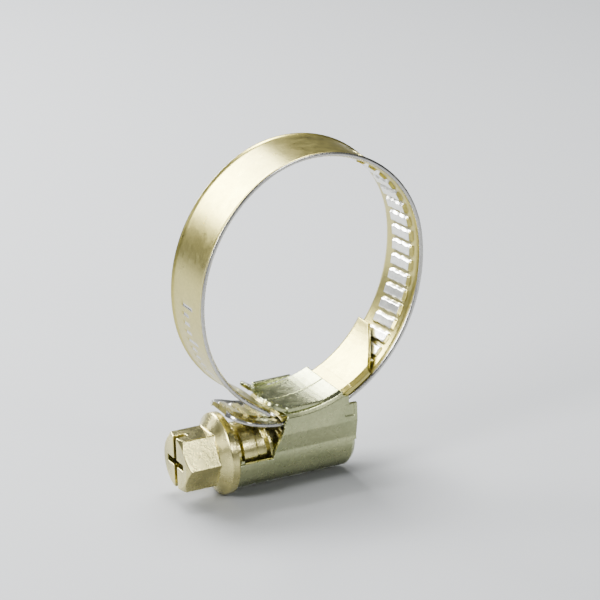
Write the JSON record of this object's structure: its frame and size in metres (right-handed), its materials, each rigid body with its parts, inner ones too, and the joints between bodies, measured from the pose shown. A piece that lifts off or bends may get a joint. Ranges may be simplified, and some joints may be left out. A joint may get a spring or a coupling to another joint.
{
  "type": "worm-drive hose clamp",
  "caption": "Worm-drive hose clamp: a slotted hexagon screw in a stamped housing pulls a grooved steel band tight round a hose.",
  "frame": {"origin": "centre of the saddle arc that the hose sits on, halfway across the band", "axes": "+X along the screw from its head to its end, +Y along the hose, +Z from the housing to the top of the ring"},
  "size_m": [0.033, 0.0104, 0.0434],
  "materials": {
    "band_zinc": "zinc plated, pale yellow passivated, rolled sheet",
    "housing_zinc": "zinc plated, pale yellow passivated, pressed sheet",
    "screw_zinc": "zinc plated, pale yellow passivated, turned and rolled"
  },
  "bodies": {
    "housing": {"housing": "housing_zinc", "band_fixed_end": "band_zinc"},
    "screw": {"worm_screw": "screw_zinc"},
    "threaded_end": {"band_threaded_end": "band_zinc"},
    "link_01": {"band_link_01": "band_zinc"},
    "link_02": {"band_link_02": "band_zinc"},
    "link_03": {"band_link_03": "band_zinc"},
    "link_04": {"band_link_04": "band_zinc"},
    "link_05": {"band_link_05": "band_zinc"},
    "link_06": {"band_link_06": "band_zinc"},
    "link_07": {"band_link_07": "band_zinc"},
    "link_08": {"band_link_08": "band_zinc"},
    "link_09": {"band_link_09": "band_zinc"},
    "link_10": {"band_link_10": "band_zinc"},
    "link_11": {"band_link_11": "band_zinc"},
    "link_12": {"band_link_12": "band_zinc"}
  },
  "joints": [
    {"name": "screw_turn", "type": "hinge", "parent": "housing", "child": "screw", "pos_m": [0, 0, -0.0214], "axis": [1, 0, 0], "range_deg": [-540, 1080]},
    {"name": "band_feed", "type": "hinge", "parent": "housing", "child": "threaded_end", "pos_m": [0, 0, 0], "axis": [0, 1, 0], "range_deg": [-9.8, 19.6]},
    {"name": "bend_01", "type": "hinge", "parent": "threaded_end", "child": "link_01", "pos_m": [0.01331, 0, -0.01117], "axis": [0, 1, 0], "range_deg": [-1.22, 0.64]},
    {"name": "bend_02", "type": "hinge", "parent": "link_01", "child": "link_02", "pos_m": [0.01713, 0, -0.0042], "axis": [0, 1, 0], "range_deg": [-2, 1.02]},
    {"name": "bend_03", "type": "hinge", "parent": "link_02", "child": "link_03", "pos_m": [0.018, 0, 0.0037], "axis": [0, 1, 0], "range_deg": [-0.44, 0.24]},
    {"name": "bend_04", "type": "hinge", "parent": "link_03", "child": "link_04", "pos_m": [0.01557, 0, 0.01038], "axis": [0, 1, 0], "range_deg": [-0.44, 0.24]},
    {"name": "bend_05", "type": "hinge", "parent": "link_04", "child": "link_05", "pos_m": [0.01013, 0, 0.01495], "axis": [0, 1, 0], "range_deg": [-0.44, 0.24]},
    {"name": "bend_06", "type": "hinge", "parent": "link_05", "child": "link_06", "pos_m": [0.00313, 0, 0.01618], "axis": [0, 1, 0], "range_deg": [-0.44, 0.24]},
    {"name": "bend_07", "type": "hinge", "parent": "link_06", "child": "link_07", "pos_m": [-0.00355, 0, 0.01375], "axis": [0, 1, 0], "range_deg": [-1.22, 0.64]},
    {"name": "bend_08", "type": "hinge", "parent": "link_07", "child": "link_08", "pos_m": [-0.00841, 0, 0.00874], "axis": [0, 1, 0], "range_deg": [-2, 1.02]},
    {"name": "bend_09", "type": "hinge", "parent": "link_08", "child": "link_09", "pos_m": [-0.01108, 0, 0.00229], "axis": [0, 1, 0], "range_deg": [-2.19, 1.12]},
    {"name": "bend_10", "type": "hinge", "parent": "link_09", "child": "link_10", "pos_m": [-0.01118, 0, -0.00469], "axis": [0, 1, 0], "range_deg": [-2.19, 1.12]},
    {"name": "bend_11", "type": "hinge", "parent": "link_10", "child": "link_11", "pos_m": [-0.00916, 0, -0.00997], "axis": [0, 1, 0], "range_deg": [-3.17, 1.61]},
    {"name": "bend_12", "type": "hinge", "parent": "link_11", "child": "link_12", "pos_m": [-0.0053, 0, -0.01411], "axis": [0, 1, 0], "range_deg": [-4.34, 2.19]}
  ],
  "couplings": [
    {"joint": "band_feed", "follows": "screw_turn", "ratio": 0.018056},
    {"joint": "bend_01", "follows": "screw_turn", "ratio": -0.0010833},
    {"joint": "bend_02", "follows": "screw_turn", "ratio": -0.0018056},
    {"joint": "bend_03", "follows": "screw_turn", "ratio": -0.0003611},
    {"joint": "bend_04", "follows": "screw_turn", "ratio": -0.0003611},
    {"joint": "bend_05", "follows": "screw_turn", "ratio": -0.0003611},
    {"joint": "bend_06", "follows": "screw_turn", "ratio": -0.0003611},
    {"joint": "bend_07", "follows": "screw_turn", "ratio": -0.0010833},
    {"joint": "bend_08", "follows": "screw_turn", "ratio": -0.0018056},
    {"joint": "bend_09", "follows": "screw_turn", "ratio": -0.0019861},
    {"joint": "bend_10", "follows": "screw_turn", "ratio": -0.0019861},
    {"joint": "bend_11", "follows": "screw_turn", "ratio": -0.0028889},
    {"joint": "bend_12", "follows": "screw_turn", "ratio": -0.0039722}
  ]
}
